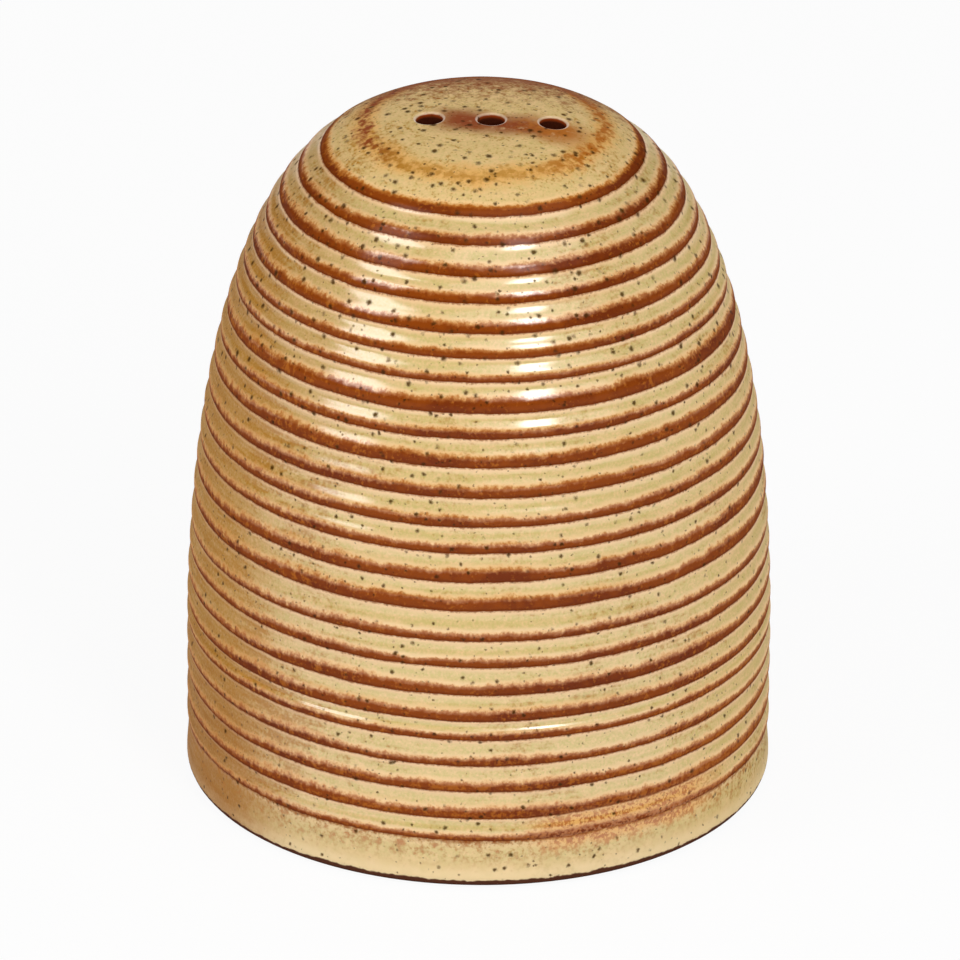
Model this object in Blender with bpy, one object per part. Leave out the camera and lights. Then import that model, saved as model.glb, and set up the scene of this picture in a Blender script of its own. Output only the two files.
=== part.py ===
"""Stoneware salt shaker: a thrown, grooved body and the soft stopper of its filling hole.

Units are metres, +Z is up, and the origin is the centre of the foot, on the table.
"""
from math import cos, floor, pi, radians, sin

import bmesh
import bpy
import numpy as np

MM = 0.001

# Body outline: straight to the belly's top, then one rounded line over the shoulder and crown
BODY_HEIGHT = 80.0 * MM
BODY_RADIUS = 33.0 * MM
BELLY_HEIGHT = 17.0 * MM
CROWN_POWER = 3.44
SHOULDER_POWER = 2.04
FOOT_EDGE_ROUND = 1.4 * MM

# Body walls and base
WALL = 4.0 * MM
CROWN_WALL = 4.0 * MM
FLOOR_THICKNESS = 4.5 * MM
CHAMBER_CORNER_ROUND = 5.0 * MM
FOOT_RING_WIDTH = 6.0 * MM
FOOT_RING_SLOPE = 1.0 * MM
FILLING_HOLE_RADIUS = 11.0 * MM
FILLING_HOLE_EDGE = 0.6 * MM

# Ring grooves, spaced along the outline with the drift and unsteadiness of a hand-held tool. Going up the
# wall, each rises from its bottom over a lip to a crest, then runs back more gently into the next groove.
GROOVE_START = 4.07 * MM
GROOVE_PITCH = 3.21 * MM
GROOVE_DEPTH = 0.24 * MM
LIP_DEPTH = 0.14 * MM
BOTTOM_TO_LIP = 0.67 * MM
LIP_TO_CREST = 1.0 * MM
GROOVE_DRIFT = 0.51 * MM
GROOVES_PER_DRIFT = 13.7
HAND_UNSTEADINESS = 0.2 * MM
HAND_SEED = 23887
PLAIN_CROWN_RADIUS = 16.5 * MM

# Pouring holes, in a row across the crown
POUR_HOLE_COUNT = 3
POUR_HOLE_RADIUS = 1.5 * MM
POUR_HOLE_SPACING = 6.9 * MM
POUR_ROW_OFFSET = 0.9 * MM
POUR_ROW_FORWARD = 1.2 * MM
POUR_ROW_TURN = radians(-2.5)
POUR_RIM_ROUND = 0.4 * MM
CUTTER_OVERRUN = 2.0 * MM

# Stopper
FIT_CLEARANCE = 0.3 * MM
STOPPER_TABLE_GAP = 1.4 * MM
FLANGE_OVERLAP = 3.0 * MM
FLANGE_THICKNESS = 1.8 * MM
FLANGE_EDGE_ROUND = 0.5 * MM
PLUG_REACH = 3.0 * MM
PLUG_WALL = 2.2 * MM
PLUG_LEAD_IN = 1.0 * MM
SEAL_RIB_HEIGHT = 0.5 * MM
SEAL_RIB_WIDTH = 1.3 * MM
SEAL_RIB_PITCH = 2.0 * MM
TAB_REACH = 6.0 * MM
TAB_WIDTH = 9.0 * MM
TAB_THICKNESS = 1.2 * MM

# Mesh fineness
BODY_STEPS = 48
STOPPER_STEPS = 32
POUR_HOLE_STEPS = 16
ARC_STEPS = 3
CROWN_STEPS = 7
CHAMBER_STEPS = 10
TAB_END_STEPS = 12
OUTLINE_SAMPLES = 4000
MERGE_DISTANCE = 0.001 * MM
SHARP_ANGLE = radians(35)

# Places and sizes that follow from the ones above
FOOT_RECESS = STOPPER_TABLE_GAP + FLANGE_THICKNESS + FIT_CLEARANCE
CHAMBER_FLOOR = FOOT_RECESS + FLOOR_THICKNESS
FOOT_RADIUS = BODY_RADIUS - FOOT_EDGE_ROUND
STOPPER_SEAT = FOOT_RECESS - FIT_CLEARANCE
FLANGE_RADIUS = FILLING_HOLE_RADIUS + FLANGE_OVERLAP
PLUG_TOP = FIT_CLEARANCE + FLOOR_THICKNESS + PLUG_REACH
SEAL_RADIUS = FILLING_HOLE_RADIUS - FIT_CLEARANCE
PLUG_RADIUS = SEAL_RADIUS - SEAL_RIB_HEIGHT


def clear_scene():
    for item in list(bpy.data.objects):
        bpy.data.objects.remove(item, do_unlink=True)


def arc(centre, radius, start, end):
    """Points of an arc in the (radius, height) plane, both ends included."""
    angles = np.linspace(start, end, ARC_STEPS + 1)
    return [(centre[0] + radius * cos(a), centre[1] + radius * sin(a)) for a in angles]


def dome(radius, base, top, angle):
    """A point of a shoulder and crown line: angle 0 is its base, a right angle its top."""
    r = radius * max(cos(angle), 0.0) ** (2 / CROWN_POWER)
    z = base + (top - base) * sin(angle) ** (2 / SHOULDER_POWER)
    return r, z


class Outline:
    """The body's smooth outer line from its foot edge to its top, measured along its own length."""

    def __init__(self):
        angles = np.linspace(0.0, pi / 2, OUTLINE_SAMPLES)
        shoulder = [dome(BODY_RADIUS, BELLY_HEIGHT, BODY_HEIGHT, a) for a in angles]
        self.r, self.z = np.array([(BODY_RADIUS, FOOT_EDGE_ROUND)] + shoulder).T
        steps = np.hypot(np.diff(self.r), np.diff(self.z))
        self.s = np.concatenate([[0.0], np.cumsum(steps)])
        self.length = self.s[-1]

    def place(self, s):
        return np.array([np.interp(s, self.s, self.r), np.interp(s, self.s, self.z)])

    def point(self, s, depth=0.0):
        """The point at length s along the line, sunk square to it by depth."""
        reach = LIP_TO_CREST / 4
        along = self.place(s + reach) - self.place(s - reach)
        along /= np.linalg.norm(along)
        r, z = self.place(s) + depth * np.array([-along[1], along[0]])
        return float(r), float(z)

    def length_at(self, radius):
        """How far along the line the crown has drawn in to a radius."""
        return float(np.interp(-radius, -self.r, self.s))

    def height_at(self, radius):
        """The crown's height at a distance from the axis."""
        return float(self.place(self.length_at(radius))[1])


def groove_places(outline):
    """The lip of each groove, as lengths along the outline."""
    room = outline.length_at(PLAIN_CROWN_RADIUS) - GROOVE_START - GROOVE_DRIFT
    count = 1 + floor(room / GROOVE_PITCH)
    numbers = np.arange(count)
    drift = GROOVE_DRIFT * np.cos(2 * pi * numbers / GROOVES_PER_DRIFT)
    hand = np.random.default_rng(HAND_SEED).normal(0.0, HAND_UNSTEADINESS, count)
    return GROOVE_START + GROOVE_PITCH * numbers + drift + hand


def outer_line(outline):
    """The grooved outside, from the foot edge up to the top."""
    points = arc((FOOT_RADIUS, FOOT_EDGE_ROUND), FOOT_EDGE_ROUND, -pi / 2, 0.0)
    for lip in groove_places(outline):
        crest = lip + LIP_TO_CREST
        points.append(outline.point(lip - BOTTOM_TO_LIP, GROOVE_DEPTH))
        points.append(outline.point(lip, LIP_DEPTH))
        points.append(outline.point(crest))
    crown = np.linspace(crest, outline.length, CROWN_STEPS + 1)
    points += [outline.point(s) for s in crown[1:-1]]
    points.append((0.0, BODY_HEIGHT))
    return points


def underside_line():
    """The foot ring, the recess inside it and the filling hole, from the foot to the chamber floor."""
    hole = FILLING_HOLE_RADIUS
    edge = FILLING_HOLE_EDGE
    foot_inside = FOOT_RADIUS - FOOT_RING_WIDTH
    return [
        (foot_inside, 0.0),
        (foot_inside - FOOT_RING_SLOPE, FOOT_RECESS),
        (hole + edge, FOOT_RECESS),
        (hole, FOOT_RECESS + edge),
        (hole, CHAMBER_FLOOR - edge),
        (hole + edge, CHAMBER_FLOOR),
    ]


def chamber_line():
    """The inside of the salt chamber, from its floor up to the underside of the crown."""
    corner = CHAMBER_CORNER_ROUND
    wall = BODY_RADIUS - WALL
    top = BODY_HEIGHT - CROWN_WALL
    base = max(BELLY_HEIGHT, CHAMBER_FLOOR + corner)
    points = arc((wall - corner, CHAMBER_FLOOR + corner), corner, -pi / 2, 0.0)
    angles = np.linspace(0.0, pi / 2, CHAMBER_STEPS + 1)
    points += [dome(wall, base, top, a) for a in angles[:-1]]
    points.append((0.0, top))
    return points


def turn(bm, line, steps, centre=(0.0, 0.0)):
    """Turn a line of (radius, height) points about an upright axis at centre."""
    verts = [bm.verts.new((centre[0] + r, centre[1], z)) for r, z in line]
    edges = [bm.edges.new(pair) for pair in zip(verts, verts[1:])]
    bmesh.ops.spin(
        bm, geom=verts + edges, cent=(*centre, 0.0), axis=(0.0, 0.0, 1.0),
        angle=2 * pi, steps=steps, use_merge=True)


def finished_object(name, bm, parent=None, location=(0.0, 0.0, 0.0)):
    """Close a mesh, point its faces outwards and put it in the scene."""
    bmesh.ops.remove_doubles(bm, verts=bm.verts, dist=MERGE_DISTANCE)
    bmesh.ops.recalc_face_normals(bm, faces=bm.faces)
    mesh = bpy.data.meshes.new(name)
    bm.to_mesh(mesh)
    bm.free()
    mesh.shade_smooth()
    mesh.set_sharp_from_angle(angle=SHARP_ANGLE)
    piece = bpy.data.objects.new(name, mesh)
    piece.parent = parent
    piece.location = location
    bpy.context.scene.collection.objects.link(piece)
    return piece


def helper_object(name, bm, parent, location=(0.0, 0.0, 0.0)):
    """A shape that only cuts or adds to another piece."""
    helper = finished_object(name, bm, parent, location)
    helper.hide_render = True
    helper.display_type = "WIRE"
    return helper


def combine(piece, helper, operation):
    boolean = piece.modifiers.new(helper.name, "BOOLEAN")
    boolean.operation = operation
    boolean.solver = "EXACT"
    boolean.object = helper


def finish(name, colour, roughness):
    """A plain material, with no metal in it."""
    material = bpy.data.materials.new(name)
    material.use_nodes = True
    shader = material.node_tree.nodes["Principled BSDF"]
    shader.inputs["Base Color"].default_value = (*colour, 1.0)
    shader.inputs["Roughness"].default_value = roughness
    shader.inputs["Metallic"].default_value = 0.0
    return material


def pour_hole_line(surface):
    """A pouring hole's cutter under a crown surface height, flared at its rim."""
    flare = (POUR_HOLE_RADIUS + POUR_RIM_ROUND, surface - POUR_RIM_ROUND)
    low = surface - CROWN_WALL - CUTTER_OVERRUN
    high = surface + CUTTER_OVERRUN
    line = [(0.0, low), (POUR_HOLE_RADIUS, low)]
    line += arc(flare, POUR_RIM_ROUND, pi, pi / 2)
    line += [(flare[0], high), (0.0, high)]
    return line


def pour_hole_cutters(outline, parent):
    bm = bmesh.new()
    for i in range(POUR_HOLE_COUNT):
        along = POUR_HOLE_SPACING * (i - (POUR_HOLE_COUNT - 1) / 2)
        x = POUR_ROW_OFFSET + along * cos(POUR_ROW_TURN)
        y = along * sin(POUR_ROW_TURN) - POUR_ROW_FORWARD
        surface = outline.height_at(np.hypot(x, y))
        turn(bm, pour_hole_line(surface), POUR_HOLE_STEPS, (x, y))
    return helper_object("pour_hole_cutters", bm, parent)


def stoneware_body(parent):
    outline = Outline()
    line = outer_line(outline)[::-1] + underside_line() + chamber_line()
    bm = bmesh.new()
    turn(bm, line, BODY_STEPS)
    body = finished_object("stoneware_body", bm, parent)
    body.data.materials.append(finish("oatmeal_glaze", (0.68, 0.50, 0.25), 0.25))
    combine(body, pour_hole_cutters(outline, parent), "DIFFERENCE")
    return body


def stopper_line():
    """The turned stopper over its seat height: hollow plug, sealing ribs and flange."""
    hollow = PLUG_RADIUS - PLUG_WALL
    line = [
        (0.0, 0.0),
        (hollow, 0.0),
        (hollow, PLUG_TOP),
        (PLUG_RADIUS - PLUG_LEAD_IN, PLUG_TOP),
        (PLUG_RADIUS, PLUG_TOP - PLUG_LEAD_IN),
    ]
    rib_count = floor((PLUG_TOP - PLUG_LEAD_IN) / SEAL_RIB_PITCH)
    for i in reversed(range(rib_count)):
        middle = SEAL_RIB_PITCH * (i + 0.5)
        line.append((PLUG_RADIUS, middle + SEAL_RIB_WIDTH / 2))
        line.append((SEAL_RADIUS, middle))
        line.append((PLUG_RADIUS, middle - SEAL_RIB_WIDTH / 2))
    line.append((PLUG_RADIUS, 0.0))
    line.append((FLANGE_RADIUS, 0.0))
    edge = (FLANGE_RADIUS - FLANGE_EDGE_ROUND, FLANGE_EDGE_ROUND - FLANGE_THICKNESS)
    line += arc(edge, FLANGE_EDGE_ROUND, 0.0, -pi / 2)
    line.append((0.0, -FLANGE_THICKNESS))
    return line


def pull_tab(parent):
    """The tongue on the flange's edge, rooted in the middle of the flange's thickness."""
    half = TAB_WIDTH / 2
    root = PLUG_RADIUS - PLUG_WALL
    end = FLANGE_RADIUS + TAB_REACH - half
    low = -(FLANGE_THICKNESS + TAB_THICKNESS) / 2
    angles = np.linspace(0.0, pi, TAB_END_STEPS + 1)
    corners = [(-half, root), (half, root)]
    corners += [(half * cos(a), end + half * sin(a)) for a in angles]
    bm = bmesh.new()
    face = bm.faces.new([bm.verts.new((x, y, low)) for x, y in corners])
    sides = bmesh.ops.extrude_face_region(bm, geom=[face], use_keep_orig=True)
    top = [item for item in sides["geom"] if isinstance(item, bmesh.types.BMVert)]
    bmesh.ops.translate(bm, verts=top, vec=(0.0, 0.0, TAB_THICKNESS))
    return helper_object("pull_tab", bm, parent, (0.0, 0.0, STOPPER_SEAT))


def filling_stopper(parent):
    bm = bmesh.new()
    turn(bm, stopper_line(), STOPPER_STEPS)
    stopper = finished_object("filling_stopper", bm, parent, (0.0, 0.0, STOPPER_SEAT))
    stopper.data.materials.append(finish("stopper_silicone", (0.62, 0.58, 0.50), 0.55))
    combine(stopper, pull_tab(parent), "UNION")
    return stopper


def build():
    clear_scene()
    shaker = bpy.data.objects.new("salt_shaker", None)
    bpy.context.scene.collection.objects.link(shaker)
    stoneware_body(shaker)
    filling_stopper(shaker)


build()
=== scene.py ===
"""Stoneware salt shaker: the thrown and glazed body, its soft stopper, and a plain pale stage."""

from math import atan2, cos, floor, hypot, pi, radians, sin

import bpy
import numpy as np
from bpy.props import FloatProperty, FloatVectorProperty, IntProperty, PointerProperty
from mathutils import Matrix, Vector


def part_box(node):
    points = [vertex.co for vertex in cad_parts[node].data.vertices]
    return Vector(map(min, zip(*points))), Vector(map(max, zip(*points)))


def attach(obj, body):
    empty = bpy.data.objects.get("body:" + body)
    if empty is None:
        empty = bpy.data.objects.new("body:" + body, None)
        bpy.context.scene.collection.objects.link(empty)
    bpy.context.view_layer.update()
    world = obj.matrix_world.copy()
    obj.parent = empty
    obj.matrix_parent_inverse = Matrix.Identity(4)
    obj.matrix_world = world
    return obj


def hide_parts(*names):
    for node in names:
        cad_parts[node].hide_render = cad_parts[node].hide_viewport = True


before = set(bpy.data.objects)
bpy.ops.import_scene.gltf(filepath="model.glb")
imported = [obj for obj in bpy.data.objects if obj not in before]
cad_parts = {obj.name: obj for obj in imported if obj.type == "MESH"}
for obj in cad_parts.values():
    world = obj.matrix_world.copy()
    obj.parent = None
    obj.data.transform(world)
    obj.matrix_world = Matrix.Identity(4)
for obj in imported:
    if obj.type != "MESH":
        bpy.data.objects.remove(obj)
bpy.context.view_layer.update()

bl_info = {
    "name": "Stoneware Salt Shaker",
    "version": (1, 0, 0),
    "blender": (4, 5, 0),
    "location": "View3D > Sidebar > Shaker",
    "description": "Throws and glazes a grooved stoneware salt shaker and moulds its stopper",
    "category": "Add Mesh",
}

MM = 0.001
BODY_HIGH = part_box("stoneware_body")[1]

# Mesh fineness
BODY_STEPS = 144
STOPPER_STEPS = 96
HOLE_STEPS = 48
RIDGE_STEPS = 24
FLOOR_STEPS = 64
ARC_STEPS = 6
RIB_STEPS = 8
TAB_END_STEPS = 12
TAB_EDGE_STEPS = 3
BAND_POINTS = 16
CHAMBER_STEPS = 28
OUTLINE_SAMPLES = 4000
CROWN_STEP = 0.3 * MM
OUTLINE_REACH = 0.2 * MM
MERGE_DISTANCE = 0.002 * MM
NEAREST_BATCH = 4096
SMOOTH_ANGLE = radians(38)

# How the thrower's tool varies from groove to groove
HAND_SEED = 23887
DEPTH_VARIATION = 0.16
DEPTH_PHASE = 1.7

# How the wall wanders: not at all at the foot, and fully above a ramp
WANDER_SIZE = 14.0 * MM
WANDER_RAMP = 6.0 * MM
WANDER_START = 0.4

# The number of the broadest line of glaze, and the seed for the breadths of all lines
BROAD_LINE = 16
BREADTH_SEED = 21046.0

# The value of the ring attribute where there is no glaze
NO_RING = -20.0

# The rounding of the pull tab's end and half the length of a grip ridge, as shares of the tab's breadth
TAB_END_ROUND = 0.48
RIDGE_HALF_LENGTH = 0.32

# The rounding of a grip ridge's ends, as a share of its thickness, and where the ridges lie
RIDGE_ROUND = 0.6
RIDGE_COUNT = 3
RIDGE_INSET = 1.8 * MM
RIDGE_PITCH = 1.3 * MM

# How much of the floor is seen as plain white. The rest shows its light and shadow.
FLOOR_LIFT = 0.93
LAMP_DISTANCE = 0.9
LAMP_AIM_HEIGHT = 45.0 * MM
SENSOR_MM = 36.0


def linear(red, green, blue):
    """A colour as seen on a screen, 0 to 255, in the linear values that shaders use."""
    shares = [c / 255 for c in (red, green, blue)]
    return tuple(s / 12.92 if s <= 0.04045 else ((s + 0.055) / 1.055) ** 2.4 for s in shares)


def size(label, text, metres):
    """A length setting."""
    return FloatProperty(
        name=label, description=text, default=metres,
        min=0.0, unit="LENGTH", subtype="DISTANCE", precision=5)


def share(label, text, value):
    """A plain number setting."""
    return FloatProperty(name=label, description=text, default=value, min=0.0)


def turn_angle(label, text, degrees):
    """An angle setting."""
    return FloatProperty(name=label, description=text, default=radians(degrees), subtype="ANGLE")


def tint(label, text, *screen_colour):
    """A colour setting."""
    return FloatVectorProperty(
        name=label, description=text, default=linear(*screen_colour),
        size=3, min=0.0, max=1.0, subtype="COLOR")


class BodySizes(bpy.types.PropertyGroup):
    """Sizes of the thrown body"""
    height: size("Height", "From the table to the top of the crown", BODY_HIGH[2])
    radius: size("Radius", "Widest half breadth, over the groove crests", BODY_HIGH[0])
    belly_height: size("Belly height", "Height up to which the wall is upright", 17.0 * MM)
    crown_power: share("Crown power", "How flat the crown is before it rolls over", 3.44)
    shoulder_power: share("Shoulder power", "How full the shoulder is", 2.04)
    foot_edge: size("Foot edge", "Rounding of the outer foot edge", 1.4 * MM)
    wall: size("Wall", "Thickness of the wall", 4.0 * MM)
    crown_wall: size("Crown wall", "Thickness of the crown", 4.0 * MM)
    foot_recess: size("Foot recess", "Depth of the hollow inside the foot ring", 3.5 * MM)
    floor_thickness: size("Floor thickness", "Thickness of the floor", 4.5 * MM)
    corner_round: size("Chamber corner", "Rounding between the chamber's floor and wall", 5.0 * MM)
    foot_ring: size("Foot ring", "Breadth of the ring it stands on", 6.0 * MM)
    foot_slope: size("Foot slope", "How far the foot ring's inside leans in", 1.0 * MM)
    filling_hole: size("Filling hole", "Radius of the hole in the floor", 11.0 * MM)
    hole_edge: size("Filling hole edge", "Rounding of the filling hole's edges", 0.6 * MM)
    unevenness: size("Unevenness", "How far the hand-thrown wall wanders", 0.16 * MM)


class GrooveSizes(bpy.types.PropertyGroup):
    """Sizes of the ring grooves, measured along the outline"""
    start: size("Start", "Lip of the lowest groove, along the wall from the foot edge", 4.07 * MM)
    pitch: size("Pitch", "Step from groove to groove", 3.21 * MM)
    depth: size("Depth", "Depth of a groove", 0.24 * MM)
    bottom_to_lip: size("Bottom to lip", "From a groove's bottom up to its lip", 0.67 * MM)
    lip_to_crest: size("Lip to crest", "From a lip up to the crest over it", 1.0 * MM)
    drift: size("Drift", "Slow drift of the hand-held tool", 0.51 * MM)
    per_drift: share("Grooves per drift", "Grooves in one wave of that drift", 13.7)
    unsteadiness: size("Unsteadiness", "How far single grooves stray", 0.2 * MM)
    plain_crown: size("Plain crown", "Radius inside which the crown has no groove", 16.5 * MM)


class PourHoleSizes(bpy.types.PropertyGroup):
    """Sizes of the pouring holes"""
    count: IntProperty(name="Count", description="Holes in the row", default=3, min=1)
    radius: size("Radius", "Radius of a hole", 1.5 * MM)
    spacing: size("Spacing", "Step from hole to hole", 6.9 * MM)
    offset: size("Offset", "How far the row's middle lies right of the axis", 0.9 * MM)
    forward: size("Forward", "How far the row lies in front of the axis", 1.2 * MM)
    row_turn: turn_angle("Row turn", "Turn of the row, seen from above", -2.5)
    rim_round: size("Rim rounding", "Rounding of the rims", 0.4 * MM)


class GlazeColours(bpy.types.PropertyGroup):
    """Colours of the glaze and of the clay under it, some of which stand in for painted highlights and
    shade
    """
    oatmeal: tint("Oatmeal", "Full glaze on the bands", 234, 197, 140)
    # Khaki is the glaze's cooler tone. In the middle of a band it is partly painted shade.
    khaki: tint("Khaki", "Cooler glaze in the middle of a band", 209, 186, 114)
    # Cream is partly pale glaze and partly a painted highlight low on the band over the foot.
    cream: tint("Cream", "Palest glaze, over the foot", 246, 220, 168)
    # Rose is a painted highlight along the top of each band, just under a lip.
    lip_highlight_rose: tint("Rose", "Glaze under a lip", 245, 203, 152)
    # Peach is partly the glaze's warm edge and partly a painted highlight along a band's lower edge.
    peach_and_highlight: tint("Peach", "Bright margin over a line", 248, 207, 150)
    glow: tint("Glow", "Thin warm glaze along a line's upper edge", 230, 170, 86)
    amber: tint("Amber", "Glaze breaking on a line's upper edge", 180, 101, 26)
    line: tint("Line", "Iron brown of the lines", 138, 63, 10)
    # Lip is partly the iron's darkest brown and partly painted shade along the lip's edge.
    lip: tint("Lip", "Darkest brown, along the lips", 102, 41, 5)
    plum: tint("Plum", "Red patches in the lines", 114, 46, 12)
    ochre: tint("Ochre", "Iron stain in the glaze", 178, 121, 36)
    rust: tint("Rust", "Red iron stain on the crown", 142, 58, 20)
    speck: tint("Speck", "Iron specks", 64, 36, 6)
    # Rim is partly thin glaze and partly a painted highlight on the rims of the holes.
    rim: tint("Rim", "Thin glaze on the rims of the holes", 236, 212, 190)
    clay: tint("Clay", "Bare fired clay", 88, 52, 38)
    grog: tint("Grog", "Pale grains in the bare clay", 150, 112, 84)
    # Dark clay is the clay's darker tone. In the pouring holes it is also painted shade that deepens with
    # depth.
    dark_clay_and_bore_shade: tint("Dark clay", "Clay in the depth of the holes and the chamber", 74, 30, 16)


class StopperSizes(bpy.types.PropertyGroup):
    """Sizes and colour of the stopper"""
    clearance: size("Clearance", "Gap to the body", 0.3 * MM)
    flange_overlap: size("Flange overlap", "How far the flange passes the hole's edge", 3.0 * MM)
    flange_thickness: size("Flange thickness", "Thickness of the flange", 1.8 * MM)
    flange_round: size("Flange edge", "Rounding of the flange's lower edge", 0.5 * MM)
    dish: size("Dish", "Depth of the dish under the flange", 0.4 * MM)
    plug_reach: size("Plug reach", "How far the plug passes the floor", 3.0 * MM)
    plug_wall: size("Plug wall", "Thickness of the hollow plug's wall", 2.2 * MM)
    lead_in: size("Lead-in", "Taper at the plug's end", 1.0 * MM)
    rib_height: size("Rib height", "Height of a sealing rib", 0.5 * MM)
    rib_width: size("Rib width", "Breadth of a sealing rib", 1.3 * MM)
    rib_pitch: size("Rib pitch", "Step from rib to rib", 2.0 * MM)
    tab_reach: size("Tab reach", "How far the pull tab passes the flange", 6.0 * MM)
    tab_width: size("Tab width", "Breadth of the pull tab", 9.0 * MM)
    tab_thickness: size("Tab thickness", "Thickness of the pull tab", 1.2 * MM)
    silicone: tint("Silicone", "Colour of the moulding", 206, 199, 184)


class StageSizes(bpy.types.PropertyGroup):
    """Camera, light and floor"""
    elevation: turn_angle("Elevation", "Camera angle above the table", 25.7)
    roll: turn_angle("Roll", "Camera roll", 0.5)
    distance: size("Distance", "Camera to the shaker", 1.65)
    view_width: size("View width", "Breadth of the picture at the shaker", 108.1 * MM)
    aim_height: size("Aim height", "Height on the axis at the middle of the picture", 34.84 * MM)
    floor_size: size("Floor size", "Breadth of the floor", 6.0)
    floor: tint("Floor", "Colour of the floor", 244, 244, 243)
    room: tint("Room", "Even light from all round", 129, 129, 131)


class ShakerSettings(bpy.types.PropertyGroup):
    """All sizes and colours of the shaker and its stage"""
    body: PointerProperty(type=BodySizes)
    grooves: PointerProperty(type=GrooveSizes)
    holes: PointerProperty(type=PourHoleSizes)
    glaze: PointerProperty(type=GlazeColours)
    stopper: PointerProperty(type=StopperSizes)
    stage: PointerProperty(type=StageSizes)


def deselect_all():
    bpy.ops.object.select_all(action="DESELECT")


def choose(piece):
    """Make a piece the only selected and the active one."""
    deselect_all()
    piece.select_set(True)
    bpy.context.view_layer.objects.active = piece


def close_mesh():
    """In edit mode, merge the seam and the poles and turn all faces outwards."""
    bpy.ops.mesh.select_all(action="SELECT")
    bpy.ops.mesh.remove_doubles(threshold=MERGE_DISTANCE)
    bpy.ops.mesh.normals_make_consistent(inside=False)


def apply_place(piece):
    """Bring a piece's place into its mesh."""
    choose(piece)
    bpy.ops.object.transform_apply(location=True, rotation=True, scale=True)


def arc(centre, radius, start, end):
    """Points of an arc in the (radius, height) plane, both ends included."""
    angles = np.linspace(start, end, ARC_STEPS + 1)
    return [(centre[0] + radius * cos(a), centre[1] + radius * sin(a)) for a in angles]


def lathe(name, line, steps):
    """Draw a line of (radius, height) points out of one point and spin it about the upright axis."""
    deselect_all()
    r, z = line[0]
    bpy.ops.mesh.primitive_plane_add(size=MM, location=(r, 0.0, z))
    piece = bpy.context.object
    piece.name = name
    bpy.ops.object.mode_set(mode="EDIT")
    bpy.ops.mesh.select_mode(type="VERT")
    bpy.ops.mesh.select_all(action="SELECT")
    bpy.ops.mesh.merge(type="CENTER")
    for (r, z), (next_r, next_z) in zip(line, line[1:]):
        move = {"value": (next_r - r, 0.0, next_z - z)}
        bpy.ops.mesh.extrude_region_move(TRANSFORM_OT_translate=move)
    bpy.ops.mesh.select_all(action="SELECT")
    bpy.ops.mesh.spin(steps=steps, angle=2 * pi, center=(0.0, 0.0, 0.0), axis=(0.0, 0.0, 1.0))
    close_mesh()
    bpy.ops.object.mode_set(mode="OBJECT")
    apply_place(piece)
    return piece


def combine(piece, helper, operation):
    """Cut or join a helper shape into a piece, and remove the helper."""
    choose(piece)
    bpy.ops.object.modifier_add(type="BOOLEAN")
    boolean = piece.modifiers[-1]
    boolean.operation = operation
    boolean.solver = "EXACT"
    boolean.object = helper
    bpy.ops.object.modifier_apply(modifier=boolean.name)
    if not piece.data.polygons:
        raise RuntimeError(f"{operation} with {helper.name} left nothing of {piece.name}")
    bpy.data.objects.remove(helper, do_unlink=True)


def smooth(piece):
    """Shade a piece smooth, apart from its sharp edges."""
    choose(piece)
    bpy.ops.object.shade_smooth_by_angle(angle=SMOOTH_ANGLE)


def corners(piece):
    """All vertices of a piece as an array."""
    flat = np.empty(len(piece.data.vertices) * 3, dtype=np.float32)
    piece.data.vertices.foreach_get("co", flat)
    return flat.reshape(-1, 3)


def nearest_points(piece, line):
    """For each vertex, the number of the line's point that it was turned from."""
    co = corners(piece)
    turned = np.stack([np.hypot(co[:, 0], co[:, 1]), co[:, 2]], axis=1)
    line = np.array(line, dtype=np.float32)
    found = np.empty(len(turned), dtype=np.int64)
    for start in range(0, len(turned), NEAREST_BATCH):
        batch = turned[start:start + NEAREST_BATCH, None, :]
        found[start:start + NEAREST_BATCH] = ((batch - line[None]) ** 2).sum(axis=2).argmin(axis=1)
    return found


def give_number(piece, name, values):
    """Store one number for each vertex, for a finish to read."""
    stored = piece.data.attributes.new(name, "FLOAT", "POINT")
    stored.data.foreach_set("value", np.asarray(values, dtype=np.float32))


def assign_faces(piece, slot, chosen):
    """Give the chosen faces a material slot."""
    choose(piece)
    bpy.ops.object.mode_set(mode="EDIT")
    bpy.ops.mesh.select_mode(type="FACE")
    bpy.ops.mesh.select_all(action="DESELECT")
    bpy.ops.object.mode_set(mode="OBJECT")
    piece.data.polygons.foreach_set("select", chosen)
    bpy.ops.object.mode_set(mode="EDIT")
    piece.active_material_index = slot
    bpy.ops.object.material_slot_assign()
    bpy.ops.object.mode_set(mode="OBJECT")


class Value:
    """One output of a finish's nodes, with arithmetic on numbers."""

    def __init__(self, finish, socket):
        self.finish = finish
        self.socket = socket

    def maths(self, operation, *terms):
        """A sum of one kind on numbers and values."""
        return self.finish.node("ShaderNodeMath", {"operation": operation}, dict(enumerate(terms)))

    def __add__(self, other):
        return self.maths("ADD", self, other)

    def __radd__(self, other):
        return self.maths("ADD", other, self)

    def __sub__(self, other):
        return self.maths("SUBTRACT", self, other)

    def __rsub__(self, other):
        return self.maths("SUBTRACT", other, self)

    def __mul__(self, other):
        return self.maths("MULTIPLY", self, other)

    def __rmul__(self, other):
        return self.maths("MULTIPLY", other, self)

    def __truediv__(self, other):
        return self.maths("DIVIDE", self, other)

    def __pow__(self, other):
        return self.maths("POWER", self, other)

    def __abs__(self):
        return self.maths("ABSOLUTE", self)

    def __lt__(self, other):
        return self.maths("LESS_THAN", self, other)

    def __gt__(self, other):
        return self.maths("GREATER_THAN", self, other)

    def __floor__(self):
        return self.maths("FLOOR", self)

    def least(self, other):
        return self.maths("MINIMUM", self, other)

    def most(self, other):
        return self.maths("MAXIMUM", self, other)


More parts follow.
